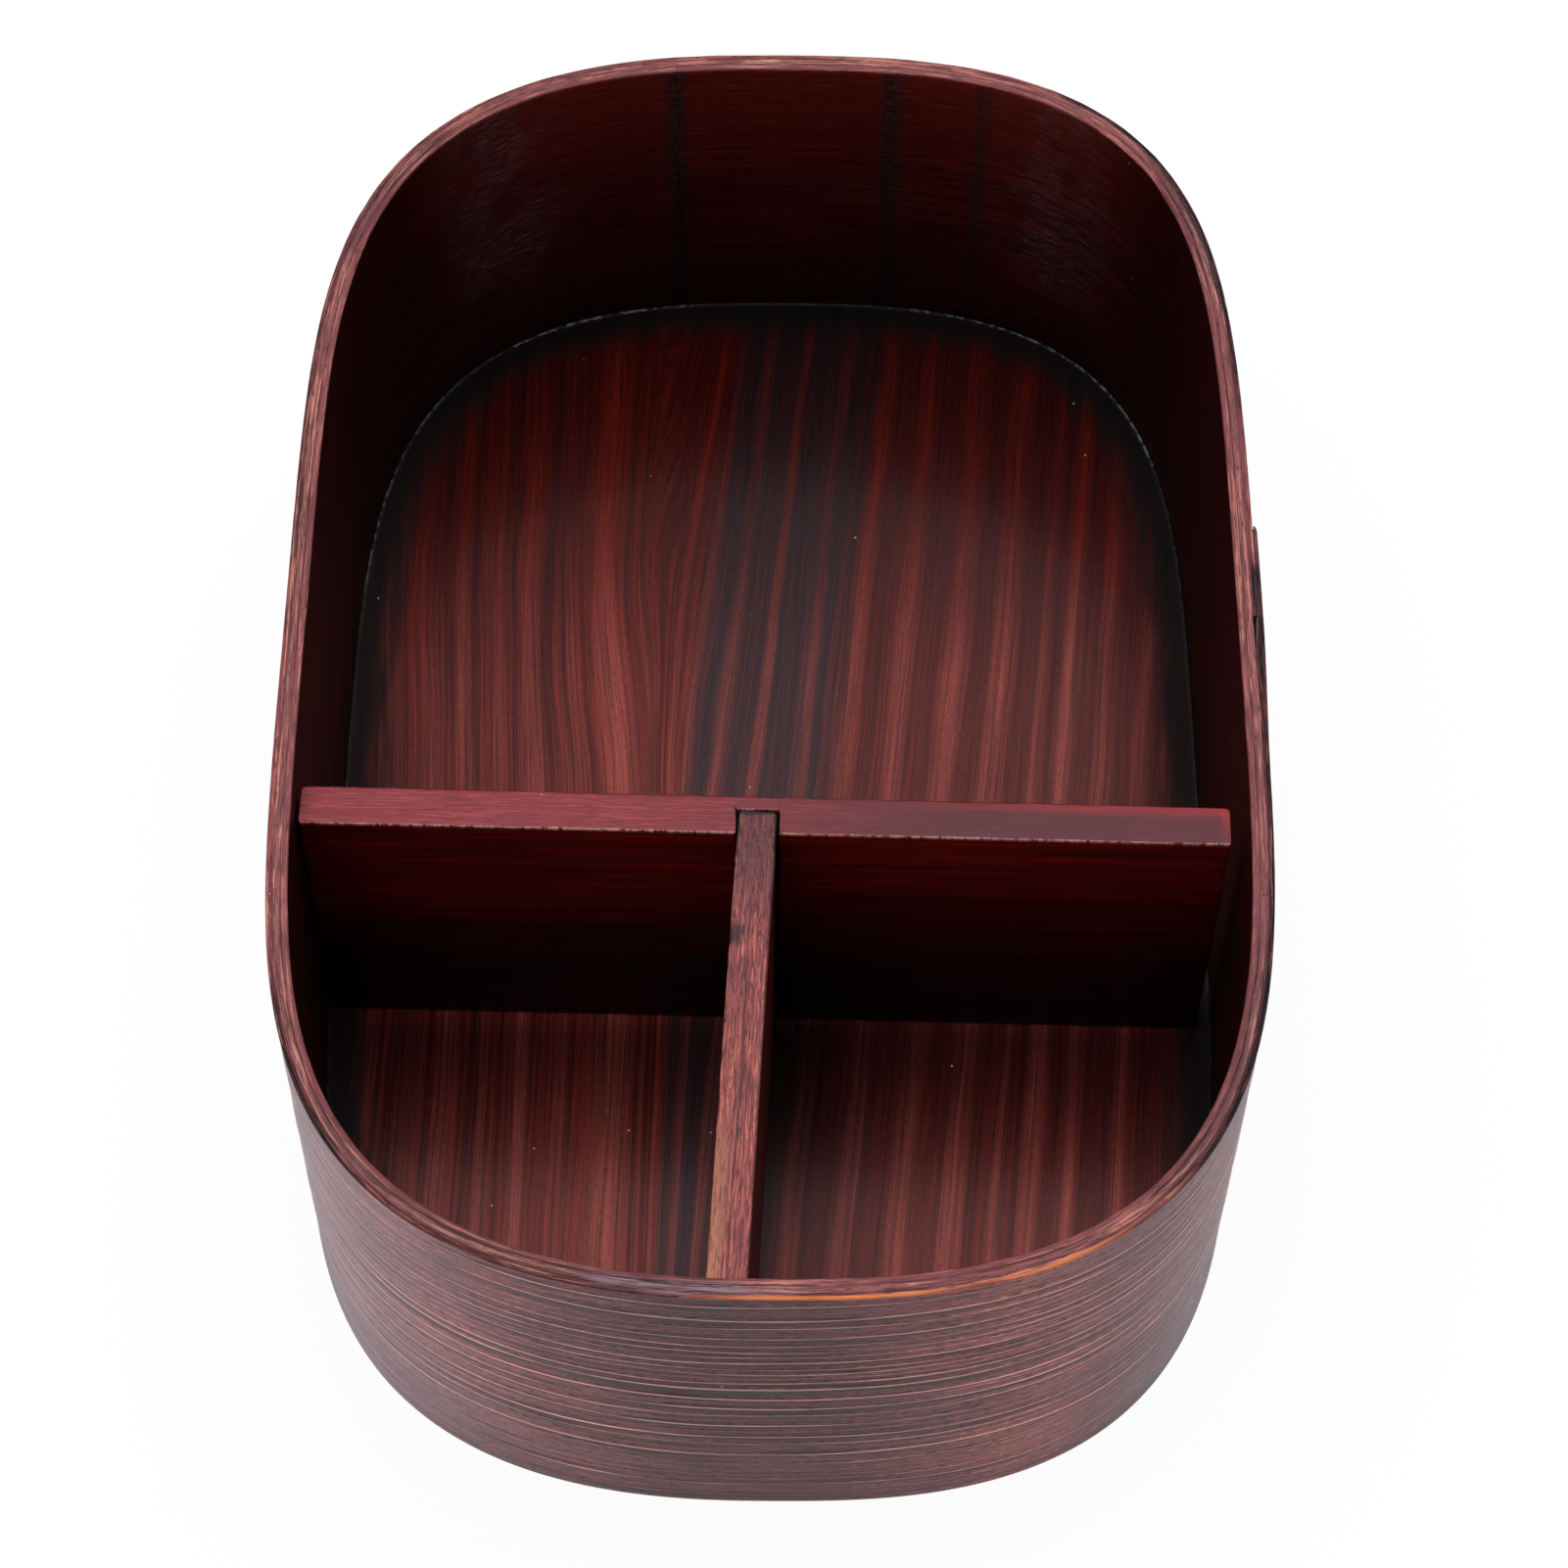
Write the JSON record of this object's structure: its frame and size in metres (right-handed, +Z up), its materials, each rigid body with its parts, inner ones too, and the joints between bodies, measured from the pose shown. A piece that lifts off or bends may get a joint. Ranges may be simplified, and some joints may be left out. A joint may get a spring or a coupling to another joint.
{
  "type": "bent-wood lunch box with loose dividers",
  "caption": "Open oblong lunch box of bent, laminated wood on a recessed floor board, with a grooved cross divider and a long divider that lift out.",
  "frame": {"origin": "centre of the bounding box in plan, at the lower edge that the box stands on", "axes": "+Z up out of the open top; +Y along the length, from the two small compartments to the large one; +X to the side where the outer strip is lapped"},
  "size_m": [0.1226, 0.189, 0.058],
  "materials": {
    "outer_ply_stain": "worn see-through dark red-brown stain over raised grain",
    "middle_ply_stain": "worn edge of thin bent wood, pink-brown",
    "inner_ply_stain": "glossy see-through stain, near black to dark red",
    "floor_stain": "see-through stain over light and dark bands of grain",
    "cross_divider_stain": "satin see-through dark red stain, worn pale on its top edge",
    "long_divider_stain": "worn dark red stain, fibrous pink-brown on its top edge"
  },
  "bodies": {
    "box": {"outer_ply": "outer_ply_stain", "middle_ply": "middle_ply_stain", "inner_ply": "inner_ply_stain", "floor_board": "floor_stain"},
    "cross_board": {"cross_divider": "cross_divider_stain"},
    "long_board": {"long_divider": "long_divider_stain"}
  },
  "joints": [
    {"name": "cross_divider_lift", "type": "slide", "parent": "box", "child": "cross_board", "axis": [0, 0, 1], "range_m": [0, 0.055]},
    {"name": "long_divider_lift", "type": "slide", "parent": "box", "child": "long_board", "axis": [0, 0, 1], "range_m": [0, 0.055]}
  ]
}
